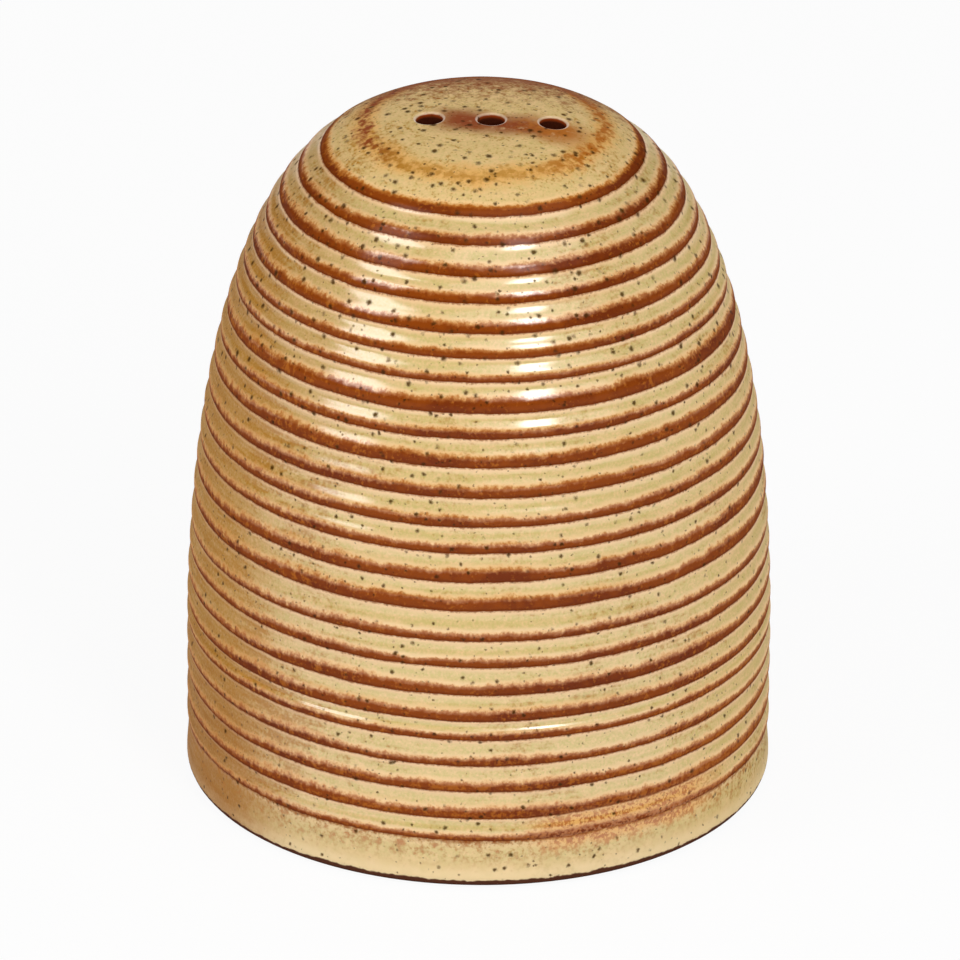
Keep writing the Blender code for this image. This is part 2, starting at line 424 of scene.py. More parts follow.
class Finish:
    """A material and the nodes that feed its shader."""

    def __init__(self, name):
        self.material = bpy.data.materials.new(name)
        self.material.use_nodes = True
        self.tree = self.material.node_tree
        self.shader = self.tree.nodes["Principled BSDF"]
        place = self.node("ShaderNodeTexCoord", output="Object")
        self.place = self.node("ShaderNodeVectorMath", {"operation": "SCALE"}, {0: place, "Scale": 1 / MM})

    def node(self, kind, settings=None, sockets=None, output=0):
        """A new node with its settings, then its socket values or links. Gives one output."""
        made = self.tree.nodes.new(kind)
        for name, value in (settings or {}).items():
            setattr(made, name, value)
        for name, value in (sockets or {}).items():
            if isinstance(value, Value):
                self.tree.links.new(value.socket, made.inputs[name])
            else:
                made.inputs[name].default_value = value
        return Value(self, made.outputs[output])

    def beside(self, value, output):
        """Another output of the node that gave a value."""
        return Value(self, value.socket.node.outputs[output])

    def stored(self, name):
        """A number that the mesh stores for each vertex."""
        return self.node("ShaderNodeAttribute", {"attribute_name": name}, None, "Fac")

    def feed(self, socket, value):
        """Set or link one socket of the shader."""
        if isinstance(value, Value):
            self.tree.links.new(value.socket, self.shader.inputs[socket])
        else:
            self.shader.inputs[socket].default_value = value

    def parts(self, vector):
        """The three numbers of a vector."""
        x = self.node("ShaderNodeSeparateXYZ", None, {0: vector}, "X")
        return x, self.beside(x, "Y"), self.beside(x, "Z")

    def vector(self, x, y, z):
        """A vector of three numbers."""
        return self.node("ShaderNodeCombineXYZ", None, {0: x, 1: y, 2: z})

    def rise(self, value, start, end):
        """A smooth step from 0 at start to 1 at end, or down where end lies below start."""
        ends = {"Value": value, "From Min": start, "From Max": end}
        return self.node("ShaderNodeMapRange", {"interpolation_type": "SMOOTHSTEP"}, ends)

    def blend(self, amount, first, second):
        """The first colour, with an amount of the second."""
        first, second = (c if isinstance(c, Value) else (*c, 1.0) for c in (first, second))
        return self.node("ShaderNodeMix", {"data_type": "RGBA"}, {0: amount, 6: first, 7: second}, 2)

    def noise(self, vector, size, detail=2.0, roughness=0.5):
        """Soft noise about 0, with features of a size in millimetres."""
        sockets = {"Vector": vector, "Scale": 1 / size, "Detail": detail, "Roughness": roughness}
        return self.node("ShaderNodeTexNoise", None, sockets) - 0.5

    def bend(self, vector, size, amount):
        """A place pushed about by up to an amount, in swirls of a size."""
        swirl = self.node("ShaderNodeTexNoise", None, {"Vector": vector, "Scale": 1 / size}, "Color")
        swirl = self.node("ShaderNodeVectorMath", {"operation": "SUBTRACT"}, {0: swirl, 1: (0.5, 0.5, 0.5)})
        push = {0: swirl, 1: (amount, amount, amount), 2: vector}
        return self.node("ShaderNodeVectorMath", {"operation": "MULTIPLY_ADD"}, push)

    def specks(self, vector, spacing, radius, amount):
        """Round specks of up to a radius, in an amount of the cells of a spacing, in millimetres."""
        away = self.node("ShaderNodeTexVoronoi", None, {"Vector": vector, "Scale": 1 / spacing})
        chance, girth, _ = self.parts(self.beside(away, "Color"))
        edge = (0.35 + 0.65 * girth) * (radius / spacing)
        return self.rise(away / edge, 1.15, 0.3) * (chance < amount)

    def bump(self, height):
        """Raise the surface by a height in millimetres."""
        self.feed("Normal", self.node("ShaderNodeBump", None, {"Height": height, "Distance": MM}))


def dome(sizes, radius, base, top, angle):
    """A point of a shoulder and crown line: angle 0 is its base, a right angle its top."""
    r = radius * max(cos(angle), 0.0) ** (2 / sizes.crown_power)
    z = base + (top - base) * sin(angle) ** (2 / sizes.shoulder_power)
    return r, z


class Outline:
    """The body's smooth outer line from its foot edge to its top, measured along its own length."""

    def __init__(self, sizes):
        angles = np.linspace(0.0, pi / 2, OUTLINE_SAMPLES)
        shoulder = [dome(sizes, sizes.radius, sizes.belly_height, sizes.height, a) for a in angles]
        self.r, self.z = np.array([(sizes.radius, sizes.foot_edge)] + shoulder).T
        steps = np.hypot(np.diff(self.r), np.diff(self.z))
        self.s = np.concatenate([[0.0], np.cumsum(steps)])
        self.length = self.s[-1]

    def place(self, s):
        """The point at length s along the line, as an array."""
        return np.array([np.interp(s, self.s, self.r), np.interp(s, self.s, self.z)])

    def slope(self, s):
        """The line's direction at length s."""
        along = self.place(s + OUTLINE_REACH) - self.place(s - OUTLINE_REACH)
        return along / np.linalg.norm(along)

    def point(self, s, depth=0.0):
        """The point at length s along the line, sunk square to it by depth."""
        along = self.slope(s)
        r, z = self.place(s) + depth * np.array([-along[1], along[0]])
        return float(r), float(z)

    def length_at(self, radius):
        """How far along the line the crown has drawn in to a radius."""
        return float(np.interp(-radius, -self.r, self.s))


def lip_places(outline, grooves):
    """The lip of each groove, as lengths along the outline."""
    room = outline.length_at(grooves.plain_crown) - grooves.start - grooves.drift
    count = 1 + floor(room / grooves.pitch)
    numbers = np.arange(count)
    drift = grooves.drift * np.cos(2 * pi * numbers / grooves.per_drift)
    hand = np.random.default_rng(HAND_SEED).normal(0.0, grooves.unsteadiness, count)
    return grooves.start + grooves.pitch * numbers + drift + hand


def groove_depth(grooves, number, height, step):
    """How deep the surface lies, at a height over a lip in a step from that lip to the next."""
    rise = grooves.lip_to_crest
    tuck = grooves.bottom_to_lip
    here, before = (
        grooves.depth * (1 + DEPTH_VARIATION * sin(DEPTH_PHASE * i)) for i in (number, number - 1))
    bottom = step - tuck
    if height < rise:
        return before * rise / (rise + tuck) * (1 - height / rise) ** 2
    if height > bottom:
        return here * (1 - tuck / (rise + tuck) * ((height - bottom) / tuck) ** 2)
    return here * (1 - cos(pi * (height - rise) / (bottom - rise))) / 2


def outer_line(outline, sizes, grooves):
    """The grooved outside from foot to top, as (radius, height, groove number) points."""
    foot = arc((sizes.radius - sizes.foot_edge, sizes.foot_edge), sizes.foot_edge, -pi / 2, 0.0)
    points = [(r, z, -1.0) for r, z in foot[:-1]]
    lips = [-grooves.lip_to_crest, *lip_places(outline, grooves)]
    for number, (lip, next_lip) in enumerate(zip(lips, lips[1:]), -1):
        step = next_lip - lip
        for height in np.linspace(max(-lip, 0.0), step, BAND_POINTS, endpoint=False):
            depth = groove_depth(grooves, number, height, step)
            points.append((*outline.point(lip + height, depth), number + height / step))
    last = len(lips) - 2
    for s in np.arange(lips[-1], outline.length - CROWN_STEP / 2, CROWN_STEP):
        height = s - lips[-1]
        depth = groove_depth(grooves, last, min(height, grooves.lip_to_crest), grooves.pitch)
        points.append((*outline.point(s, depth), last + height / grooves.pitch))
    points.append((0.0, sizes.height, last + (outline.length - lips[-1]) / grooves.pitch))
    return points


def underside_line(sizes):
    """The foot ring, the recess inside it and the filling hole, from the foot to the chamber floor."""
    edge = sizes.hole_edge
    hole = sizes.filling_hole
    ceiling = sizes.foot_recess
    inside = sizes.radius - sizes.foot_edge - sizes.foot_ring
    floor_top = ceiling + sizes.floor_thickness
    line = arc((inside + edge, edge), edge, -pi / 2, -pi)
    line += arc((inside - sizes.foot_slope - edge, ceiling - edge), edge, 0.0, pi / 2)
    line += arc((hole + edge, ceiling + edge), edge, -pi / 2, -pi)
    line += arc((hole + edge, floor_top - edge), edge, pi, pi / 2)
    return line


def chamber_line(sizes):
    """The inside of the salt chamber, from its floor up to the underside of the crown."""
    corner = sizes.corner_round
    wall = sizes.radius - sizes.wall
    top = sizes.height - sizes.crown_wall
    floor_top = sizes.foot_recess + sizes.floor_thickness
    base = max(sizes.belly_height, floor_top + corner)
    line = arc((wall - corner, floor_top + corner), corner, -pi / 2, 0.0)
    angles = np.linspace(0.0, pi / 2, CHAMBER_STEPS + 1)
    line += [dome(sizes, wall, base, top, a) for a in angles[:-1]]
    return line + [(0.0, top)]


def hole_places(holes):
    """The middle of each pouring hole, seen from above."""
    row = [holes.spacing * (i - (holes.count - 1) / 2) for i in range(holes.count)]
    right, back = cos(holes.row_turn), sin(holes.row_turn)
    return [(holes.offset + along * right, along * back - holes.forward) for along in row]


def hole_line(holes, wall):
    """Half section of a pouring hole, up through the crown's wall to its rounded rim."""
    overrun = wall / 2
    flare = holes.radius + holes.rim_round
    line = [(0.0, -wall - overrun), (holes.radius, -wall - overrun)]
    line += arc((flare, -holes.rim_round), holes.rim_round, pi, pi / 2)
    return line + [(flare, overrun), (0.0, overrun)]


def pierce_crown(body, outline, settings):
    """Cut the pouring holes, each square to the crown where it is."""
    cutters = []
    for x, y in hole_places(settings.holes):
        radius = hypot(x, y)
        s = outline.length_at(radius)
        along = outline.slope(s)
        cutter = lathe("pour_hole", hole_line(settings.holes, settings.body.crown_wall), HOLE_STEPS)
        cutter.location = (x, y, outline.place(s)[1])
        cutter.rotation_euler = (0.0, atan2(along[1], -along[0]), atan2(y, x))
        apply_place(cutter)
        cutters.append(cutter)
    deselect_all()
    for cutter in cutters:
        cutter.select_set(True)
    bpy.context.view_layer.objects.active = cutters[0]
    bpy.ops.object.join()
    combine(body, cutters[0], "DIFFERENCE")


def crown_depth(body, outline, crown):
    """How far each vertex lies below the crown's surface, and 0 outside the crown's radius."""
    x, y, z = corners(body).T
    radius = np.hypot(x, y)
    surface = np.interp(-radius, -outline.r, outline.z)
    return np.where(radius < crown, np.clip(surface - z, 0.0, None), 0.0)


def make_uneven(body, amount, outside):
    """Give the outside the slow wander of a wall thrown by hand."""
    lift = np.clip(corners(body)[:, 2] / WANDER_RAMP - WANDER_START, 0.0, 1.0)
    group = body.vertex_groups.new(name="outside")
    for number, weight in enumerate((outside * lift).tolist()):
        group.add([number], weight, "REPLACE")
    wander = bpy.data.textures.new("hand_wander", "CLOUDS")
    wander.noise_scale = WANDER_SIZE
    choose(body)
    bpy.ops.object.modifier_add(type="DISPLACE")
    push = body.modifiers[-1]
    push.texture = wander
    push.texture_coords = "LOCAL"
    push.strength = amount
    push.vertex_group = group.name
    bpy.ops.object.modifier_apply(modifier=push.name)
    body.vertex_groups.clear()


class Glaze(Finish):
    """Speckled oatmeal glaze that breaks to iron brown over the lips, with painted highlights and shade
    among its colours. All lengths are in millimetres.
    """

    # Sizes of its patterns
    GRAIN = 0.3
    FINE = 0.45
    SPOT = 0.8
    MOTTLE = 1.4
    FLOW = 13.0
    # How far apart the patterns of two lines are taken from
    LINE_STEP = 41.0
    # Radius of the stained ring on the crown, and the middle of the blush low on the right
    CROWN_RING = 13.4
    BLUSH_X = 17.0
    BLUSH_Z = 6.7
    # Strength, roughness and index of the clear coat
    COAT = 0.4
    COAT_ROUGHNESS = 0.17
    COAT_INDEX = 3.0

    def __init__(self, settings, last):
        """The highest lip has number last."""
        super().__init__("speckled_oatmeal_glaze")
        self.colours = settings.glaze
        self.holes = settings.holes
        self.x, self.y, self.z = self.parts(self.place)
        self.make_patterns()
        self.find_lines(settings.grooves.pitch / MM, last)
        self.spread_lines()

    def make_patterns(self):
        """Patterns that run all over the glaze, and how far a place lies to the left."""
        self.grain = self.noise(self.place, self.GRAIN)
        self.fine = self.noise(self.place, self.FINE, 3.0)
        self.spots = self.noise(self.place, self.SPOT, 3.0)
        self.mottle = self.noise(self.place, self.MOTTLE, 3.0)
        self.flow = self.noise(self.place, self.FLOW)
        self.left = self.rise(self.x, -4.0, -28.0)
        self.side = self.rise(self.x + 4.0 * self.mottle, -18.5, -29.0)
        self.clean = 1 - 0.7 * self.side

    def find_lines(self, pitch, last):
        """The number of the lip below a place, and how far the place is from that lip and the next."""
        ring = self.stored("ring") + 0.07 * self.noise(self.place, 0.9) + 0.12 * self.noise(self.place, 9.0)
        self.number = floor(ring).most(-1.0).least(last)
        self.above = (ring - self.number) * pitch
        self.below = pitch - self.above
        self.lined = self.number > -0.5
        self.crown = self.number > last - 0.5
        self.tone = self.noise(self.vector(0.1 * self.x, 0.1 * self.y, ring * pitch), 0.5)

    def spread_lines(self):
        """How far a place lies over its line, and how ragged the line's upper edge is there."""
        seed = {"W": self.number + BREADTH_SEED}
        chance = self.node("ShaderNodeTexWhiteNoise", {"noise_dimensions": "1D"}, seed)
        track = self.vector(self.x, self.y, self.number * self.LINE_STEP)
        breadth = 0.84 + 0.5 * chance + 0.4 * self.rise(abs(self.number - BROAD_LINE), 0.6, 0.4)
        breadth = breadth + 0.9 * self.noise(track, 12.0) + 0.6 * self.noise(track, 1.8, 3.0)
        thin = self.rise(self.x, -19.0, -31.0)
        self.over = self.above - (breadth * (1 - 0.35 * thin)).most(0.3)
        rough = self.vector(self.x, self.y, self.number * self.LINE_STEP + 0.5 * self.above)
        teeth = self.noise(rough, 0.7)
        self.streak = (0.55 + 0.5 * self.left) * teeth + 0.55 * self.fine + 0.55 * self.grain

    def bands(self):
        """Colour of the bands between the lines, before what lies over them, with painted shade in their
        middles and painted highlights along their edges.
        """
        # Khaki in the middle of each band, away from the lines: partly the glaze's own mottled tone, partly
        # painted shade.
        khaki_tone_and_shade = 0.7 + 1.5 * self.mottle + 2.2 * self.grain + 1.2 * self.tone
        khaki_tone_and_shade = khaki_tone_and_shade * self.rise(self.over, 0.2, 0.9) * self.rise(self.below, 0.2, 0.9).most(self.crown)
        band = self.blend(khaki_tone_and_shade * (1 - 0.4 * self.crown), self.colours.oatmeal, self.colours.khaki)
        patchy = 1 + 0.6 * self.tone + 0.6 * self.grain
        band = self.blend(self.ochre_stain().least(0.9) * patchy, band, self.colours.ochre)
        # Peach margin just over each line: partly warm glaze, partly painted highlight.
        margin = 0.7 * self.rise(self.over, 0.8, 0.1) * self.lined * self.clean
        band = self.blend(margin, band, self.colours.peach_and_highlight)
        # Rose just under each lip: a painted highlight where the lip's edge would catch the light.
        painted_lip_highlight = 0.75 * self.rise(self.below, 0.6, 0.15) * (1 - self.crown) * self.clean
        band = self.blend(painted_lip_highlight, band, self.colours.lip_highlight_rose)
        # Painted shade: the far left side darkened towards the line colour, most of all low down.
        painted_left_shade = 0.26 * self.side * self.rise(self.z + 6.0 * self.mottle, 26.0, 6.0) * (1 + 0.8 * self.fine)
        return self.blend(painted_left_shade, band, self.colours.line)

    def ochre_stain(self):
        """How much ochre stains the bands: most of all on the left, and in patches elsewhere. Towards the
        right it is partly painted shade.
        """
        stain = 0.14 * self.left + (0.66 + 0.2 * self.rise(self.z, 30.0, 8.0)) * self.side
        # Ochre towards the right side: partly stain, partly painted shade darkening that side.
        stain = stain + 0.14 * self.rise(self.x, 18.0, 30.0)
        shoulder = self.rise(self.z, 40.0, 56.0) * self.rise(self.x + 6.0 * self.mottle, -8.0, -20.0)
        stain = stain + 0.35 * shoulder * (1 - self.crown)
        patches = self.flow + 0.5 * self.mottle + 0.7 * self.fine + 0.4 * self.tone + 0.14 * self.left
        return stain + 0.8 * self.rise(patches, 0.06, 0.46)

    def foot_band(self, band):
        """The plain band over the foot, with ochre under the lowest line and a pale lower edge that is
        partly painted highlight.
        """
        low = 1 - self.lined
        band = self.blend((0.45 + 0.8 * self.mottle) * low * (1 - self.side), band, self.colours.khaki)
        # Paler towards the foot: partly pale glaze, partly painted highlight.
        pale = 0.45 * self.rise(self.z + 0.8 * self.mottle, 3.0, 1.6) * low * self.clean
        band = self.blend(pale, band, self.colours.cream)
        drips = self.rise(self.below + 2.4 * self.mottle, 2.3, 0.6) * low
        stained = self.rise(self.fine + self.mottle, -0.15, 0.2)
        band = self.blend(0.8 * drips * stained, band, self.colours.ochre)
        broken = self.rise(self.fine + 0.8 * self.mottle, 0.06, 0.3)
        return self.blend(0.7 * drips * broken, band, self.colours.amber)

    def blush(self, band):
        """The blush low on the right, which breaks the two lowest lines."""
        breadth = self.rise(abs(self.x - self.BLUSH_X + 8.0 * self.flow), 12.0, 6.0)
        height = self.rise(abs(self.z - self.BLUSH_Z + 2.0 * self.mottle), 3.0, 1.2)
        blush = breadth * height * self.rise(self.y, 0.0, -6.0)
        band = self.blend(0.9 * blush, band, self.colours.glow)
        grit = self.rise(self.fine + 0.8 * self.grain + 0.6 * self.mottle, -0.12, 0.12)
        self.broken = blush * grit
        return self.blend(0.9 * self.broken, band, self.colours.amber)

    def crown_stain(self, band):
        """The crown's broken ring of stain, its freckles, and the rust behind, which is partly stain and
        partly painted shade on the back of the crown.
        """
        radius = (self.x * self.x + self.y * self.y) ** 0.5
        gap = abs(radius - self.CROWN_RING + 2.0 * self.noise(self.place, 6.0))
        halo = 0.75 * self.rise(gap + 2.0 * self.mottle, 2.4, 0.2)
        band = self.blend(halo * self.crown, band, self.colours.glow)
        warm = self.blend(self.rise(self.x, 3.0, 12.0), self.colours.ochre, self.colours.amber)
        warm = self.blend(self.rise(self.x - 0.4 * self.y, -4.0, -12.0), warm, self.colours.rust)
        strength = 0.66 + 0.29 * self.rise(abs(self.x), 4.0, 11.0)
        stained = self.rise(gap + 5.0 * self.spots, 1.3, -0.3) * strength
        band = self.blend(stained * self.crown, band, warm)
        freckles = self.rise(self.fine + 0.9 * self.grain + 0.4 * self.mottle, 0.06, 0.3)
        band = self.blend(0.5 * freckles * self.crown, band, self.colours.ochre)
        # Rust over the back half of the crown: partly stain, partly painted shade.
        behind = self.rise(self.y + 9.0 * self.mottle + 14.0 * self.spots + 8.0 * self.grain, 1.5, 12.5)
        return self.blend(0.85 * behind * self.crown, band, self.colours.rust)

    def iron_lines(self, colour):
        """The brown lines, with glowing upper edges, and the thin dark seam under each lip, which is partly
        painted shade.
        """
        edge = self.over / (0.5 + 0.35 * self.left + self.flow).most(0.3)
        glow = 0.8 * self.rise(edge + 1.2 * self.streak, 1.0, 0.0) * self.lined
        colour = self.blend(glow, colour, self.colours.glow)
        amber = 0.9 * self.rise(edge + 1.7 * self.streak, 0.7, -0.2) * self.lined
        colour = self.blend(amber, colour, self.colours.amber)
        brown = self.rise(self.over + 0.7 * self.streak, 0.14, -0.44)
        self.brown = brown * self.lined * (1 - 0.6 * self.broken)
        colour = self.blend(self.brown, colour, self.iron())
        # A thin dark seam just under each lip: partly iron, partly painted shade.
        self.seam = self.rise(self.below + 0.5 * self.grain, 0.26, 0.0) * (1 - self.crown)
        return self.blend(0.75 * self.seam, colour, self.colours.line)

    def iron(self):
        """Colour of the lines: red in patches, amber where it is thin, and darkest along the lips, partly
        iron and partly painted shade.
        """
        iron = self.blend(
            self.rise(self.flow + 0.5 * self.mottle, -0.05, 0.2), self.colours.line, self.colours.plum)
        light = 0.18 * self.rise(self.number, 7.0, 1.0) * (1 - self.left)
        light = light + 0.12 * self.left + 0.08 * self.rise(self.x, 12.0, 22.0)
        thin = 0.7 * self.rise(self.streak + 0.6 * self.mottle + light, 0.08, 0.34)
        iron = self.blend(thin, iron, self.colours.amber)
        # Darkest along the lip at the bottom of each line: partly iron, partly painted shade.
        return self.blend(0.8 * self.rise(self.above + 0.3 * self.grain, 0.45, 0.0), iron, self.colours.lip)

    def pouring_holes(self, colour):
        """Stain between the pouring holes, their pale rims, partly a painted highlight, and their dark
        bores, partly painted shade.
        """
        right, back = cos(self.holes.row_turn), sin(self.holes.row_turn)
        along = self.x * right + self.y * back
        across = self.y * right - self.x * back + self.holes.forward / MM
        sway = 0.14 * along + 3.0 * self.noise(self.place, 4.0)
        seep = self.rise(abs(across + 0.8 + sway), 4.4, 0.6) * self.rise(abs(along - 3.2), 10.5, 6.0)
        seep = seep * self.rise(self.mottle + 0.8 * self.spots, -0.5, -0.08) * self.crown
        warm = self.blend(
            self.rise(along + 12.0 * self.spots, 2.0, 9.0), self.colours.rust, self.colours.amber)
        colour = self.blend(0.95 * seep, colour, warm)
        bore = self.holes.radius / MM
        # Pale rims, strongest on their front side: partly thin glaze, partly painted highlight.
        rim = self.rise(self.hole_gap(), bore + 0.36, bore + 0.16) * self.crown
        colour = self.blend(rim * (0.35 + 0.6 * self.rise(across, 1.2, -0.6)), colour, self.colours.rim)
        depth = self.stored("sunk")
        colour = self.blend(self.rise(depth, 0.12, 0.3), colour, self.colours.rust)
        # The bores darken to dark clay with depth: partly bare clay, partly painted shade.
        self.sunk = self.rise(depth, 0.3, 0.7)
        return self.blend(self.sunk, colour, self.colours.dark_clay_and_bore_shade)

    def hole_gap(self):
        """How far a place lies from the middle of the nearest pouring hole, seen from above."""
        gaps = []
        for hole_x, hole_y in hole_places(self.holes):
            gaps.append(((self.x - hole_x / MM) ** 2.0 + (self.y - hole_y / MM) ** 2.0) ** 0.5)
        nearest = gaps[0]
        for gap in gaps[1:]:
            nearest = nearest.least(gap)
        return nearest

    def iron_specks(self, colour):
        """Iron specks, larger and more of them higher up."""
        bent = self.bend(self.place, 0.35, 0.4)
        upper = self.rise(self.z, 35.0, 72.0)
        large = self.specks(bent, 1.25, 0.36 + 0.12 * upper, 0.65 + 0.2 * upper)
        small = self.specks(bent, 0.7, 0.2, 0.45 + 0.15 * upper)
        self.speckled = large.most(0.8 * small) * (1 - self.sunk)
        return self.blend(0.9 * self.speckled, colour, self.colours.speck)

    def clay_edge(self, colour):
        """Bare clay under the glaze's lower edge."""
        edge = self.z + 0.6 * self.noise(self.place, 3.0) + 0.5 * self.spots
        self.bare = self.rise(edge, 1.2, 1.0)
        return self.blend(self.bare, colour, self.colours.clay)

    def shine(self):
        """A clear coat, dull on the lines, the crown, the specks, the clay and the two sides."""
        self.feed("Roughness", 0.35 + 0.2 * self.mottle + 0.4 * self.bare.most(self.sunk))
        self.feed("Specular IOR Level", 0.0)
        dull = (0.91 * self.brown.most(self.seam)).most(0.85 * self.crown)
        dull = dull.most(self.speckled).most(self.bare).most(self.sunk)
        dull = dull.most(0.7 * self.side).most(0.6 * self.rise(self.x, 16.0, 30.0))
        self.feed("Coat Weight", self.COAT * (1 - dull))
        self.feed("Coat Roughness", self.COAT_ROUGHNESS)
        self.feed("Coat IOR", self.COAT_INDEX)
        relief = 0.05 * self.noise(self.place, 1.6) - 0.02 * self.speckled - 0.02 * self.brown
        self.bump(relief + 0.01 * self.grain)


def glaze_finish(settings, last):
    """The glaze of a body whose highest lip has number last, laid from the bands up."""
    glaze = Glaze(settings, last)
    colour = glaze.bands()
    colour = glaze.foot_band(colour)
    colour = glaze.blush(colour)
    colour = glaze.crown_stain(colour)
    colour = glaze.iron_lines(colour)
    colour = glaze.pouring_holes(colour)
    colour = glaze.iron_specks(colour)
    colour = glaze.clay_edge(colour)
    glaze.feed("Base Color", colour)
    glaze.shine()
    return glaze.material


def clay_finish(colours):
    """Bare fired stoneware with grog in it."""
    finish = Finish("bare_stoneware")
    place = finish.place
    tone = 0.5 + 1.5 * finish.noise(place, 4.0, 4.0, 0.6)
    colour = finish.blend(tone, colours.clay, colours.dark_clay_and_bore_shade)
    grog = finish.specks(place, 0.8, 0.25, 0.35)
    colour = finish.blend(0.5 * grog, colour, colours.grog)
    finish.feed("Base Color", colour)
    finish.feed("Roughness", 0.82 + 0.2 * finish.noise(place, 2.0))
    finish.bump(0.06 * finish.noise(place, 0.5, 3.0) + 0.03 * grog)
    return finish.material


def silicone_finish(colour):
    """Matt moulded silicone."""
    finish = Finish("moulded_silicone")
    place = finish.place
    deep = tuple(0.8 * c for c in colour)
    finish.feed("Base Color", finish.blend(0.5 + 1.2 * finish.noise(place, 6.0, 3.0), colour, deep))
    finish.feed("Roughness", 0.52 + 0.2 * finish.noise(place, 1.0, 3.0))
    finish.bump(0.012 * finish.noise(place, 0.25, 2.0))
    return finish.material


def dress_body(body, outline, line, rings, settings):
    """Glaze the outside, which has the ring numbers, and leave the underside and the chamber bare."""
    found = nearest_points(body, line)
    unglazed = np.full(len(line) - len(rings), NO_RING)
    give_number(body, "ring", np.concatenate([rings, unglazed])[found])
    give_number(body, "sunk", crown_depth(body, outline, settings.grooves.plain_crown) / MM)
    last = len(lip_places(outline, settings.grooves)) - 1
    body.data.materials.append(glaze_finish(settings, last))
    body.data.materials.append(clay_finish(settings.glaze))
    bare = [found[list(face.vertices)].min() >= len(rings) for face in body.data.polygons]
    assign_faces(body, 1, bare)


class SHAKER_OT_throw_body(bpy.types.Operator):
    """Turn the grooved body, pierce its crown and glaze it"""
    bl_idname = "shaker.throw_body"
    bl_label = "Throw Body"

    def execute(self, context):
        settings = context.scene.shaker
        sizes = settings.body
        outline = Outline(sizes)
        outside = outer_line(outline, sizes, settings.grooves)[::-1]
        line = [(r, z) for r, z, ring in outside] + underside_line(sizes) + chamber_line(sizes)
        body = lathe("glazed_body", line, BODY_STEPS)
        make_uneven(body, sizes.unevenness, nearest_points(body, line) < len(outside))
        pierce_crown(body, outline, settings)
        dress_body(body, outline, line, [ring for r, z, ring in outside], settings)
        smooth(body)
        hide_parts("stoneware_body")
        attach(body, "body")
        return {"FINISHED"}


def rib_line(sizes, plug, plug_top):
    """The sealing ribs, down the outside of the plug."""
    line = []
    for i in reversed(range(floor((plug_top - sizes.lead_in) / sizes.rib_pitch))):
        middle = sizes.rib_pitch * (i + 0.5)
        for angle in np.linspace(pi / 2, -pi / 2, RIB_STEPS + 1):
            line.append((plug + sizes.rib_height * cos(angle), middle + sizes.rib_width / 2 * sin(angle)))
    return line


def flange_line(sizes, hole, hollow):
    """The flange, out round its edge and in to the dish under it."""
    flange = hole + sizes.flange_overlap
    edge = sizes.flange_round
    dish = sizes.dish
    bottom = -sizes.flange_thickness
    line = arc((flange - edge / 2, -edge / 2), edge / 2, pi / 2, 0.0)
    line += arc((flange - edge, bottom + edge), edge, 0.0, -pi / 2)
    line += [(hollow + 2 * dish, bottom), (hollow + dish, bottom + dish / 3), (hollow, bottom + dish)]
    return line + [(0.0, bottom + dish)]


def stopper_line(sizes, plug_top, hole):
    """Half section of the stopper over its seat: hollow plug, sealing ribs and dished flange."""
    plug = hole - sizes.clearance - sizes.rib_height
    hollow = plug - sizes.plug_wall
    soft = sizes.plug_wall / 5
    line = [(0.0, 0.0)] + arc((hollow - soft, soft), soft, -pi / 2, 0.0)
    line += arc((hollow + soft, plug_top - soft), soft, pi, pi / 2)
    line += [(plug - sizes.lead_in, plug_top), (plug, plug_top - sizes.lead_in)]
    line += rib_line(sizes, plug, plug_top)
    line.append((plug, 0.0))
    return line + flange_line(sizes, hole, hollow)


def tab_shape(sizes, root, end, low):
    """The pull tab: a flat tongue with a round end and soft edges."""
    deselect_all()
    length = end - root
    middle = (0.0, root + length / 2, low + sizes.tab_thickness / 2)
    bpy.ops.mesh.primitive_cube_add(size=1.0, location=middle)
    tab = bpy.context.object
    tab.scale = (sizes.tab_width, length, sizes.tab_thickness)
    apply_place(tab)

    def upright_at_end(a, b):
        return min(a.y, b.y) > end - MM and abs(a.z - b.z) > MM / 2

    def level(a, b):
        return abs(a.z - b.z) < MM / 100

    round_edges(tab, sizes.tab_width * TAB_END_ROUND, TAB_END_STEPS, upright_at_end)
    round_edges(tab, sizes.tab_thickness / 5, TAB_EDGE_STEPS, level)
    return tab


def round_edges(piece, width, segments, wanted):
    """Bevel the edges whose two ends are wanted."""
    choose(piece)
    bpy.ops.object.mode_set(mode="EDIT")
    bpy.ops.mesh.select_mode(type="EDGE")
    bpy.ops.mesh.select_all(action="DESELECT")
    bpy.ops.object.mode_set(mode="OBJECT")
    places = piece.data.vertices
    for edge in piece.data.edges:
        a, b = (places[number].co for number in edge.vertices)
        edge.select = wanted(a, b)
    bpy.ops.object.mode_set(mode="EDIT")
    bpy.ops.mesh.bevel(offset=width, segments=segments)
    bpy.ops.object.mode_set(mode="OBJECT")


def grip_ridge(sizes, y, low):
    """One ridge across the underside of the tab."""
    thick = sizes.tab_thickness / 4
    half = sizes.tab_width * RIDGE_HALF_LENGTH
    soft = thick * RIDGE_ROUND
    line = [(0.0, -half)] + arc((thick - soft, soft - half), soft, -pi / 2, 0.0)
    line += arc((thick - soft, half - soft), soft, 0.0, pi / 2) + [(0.0, half)]
    ridge = lathe("grip_ridge", line, RIDGE_STEPS)
    ridge.rotation_euler = (0.0, pi / 2, 0.0)
    ridge.location = (0.0, y, low)
    apply_place(ridge)
    return ridge


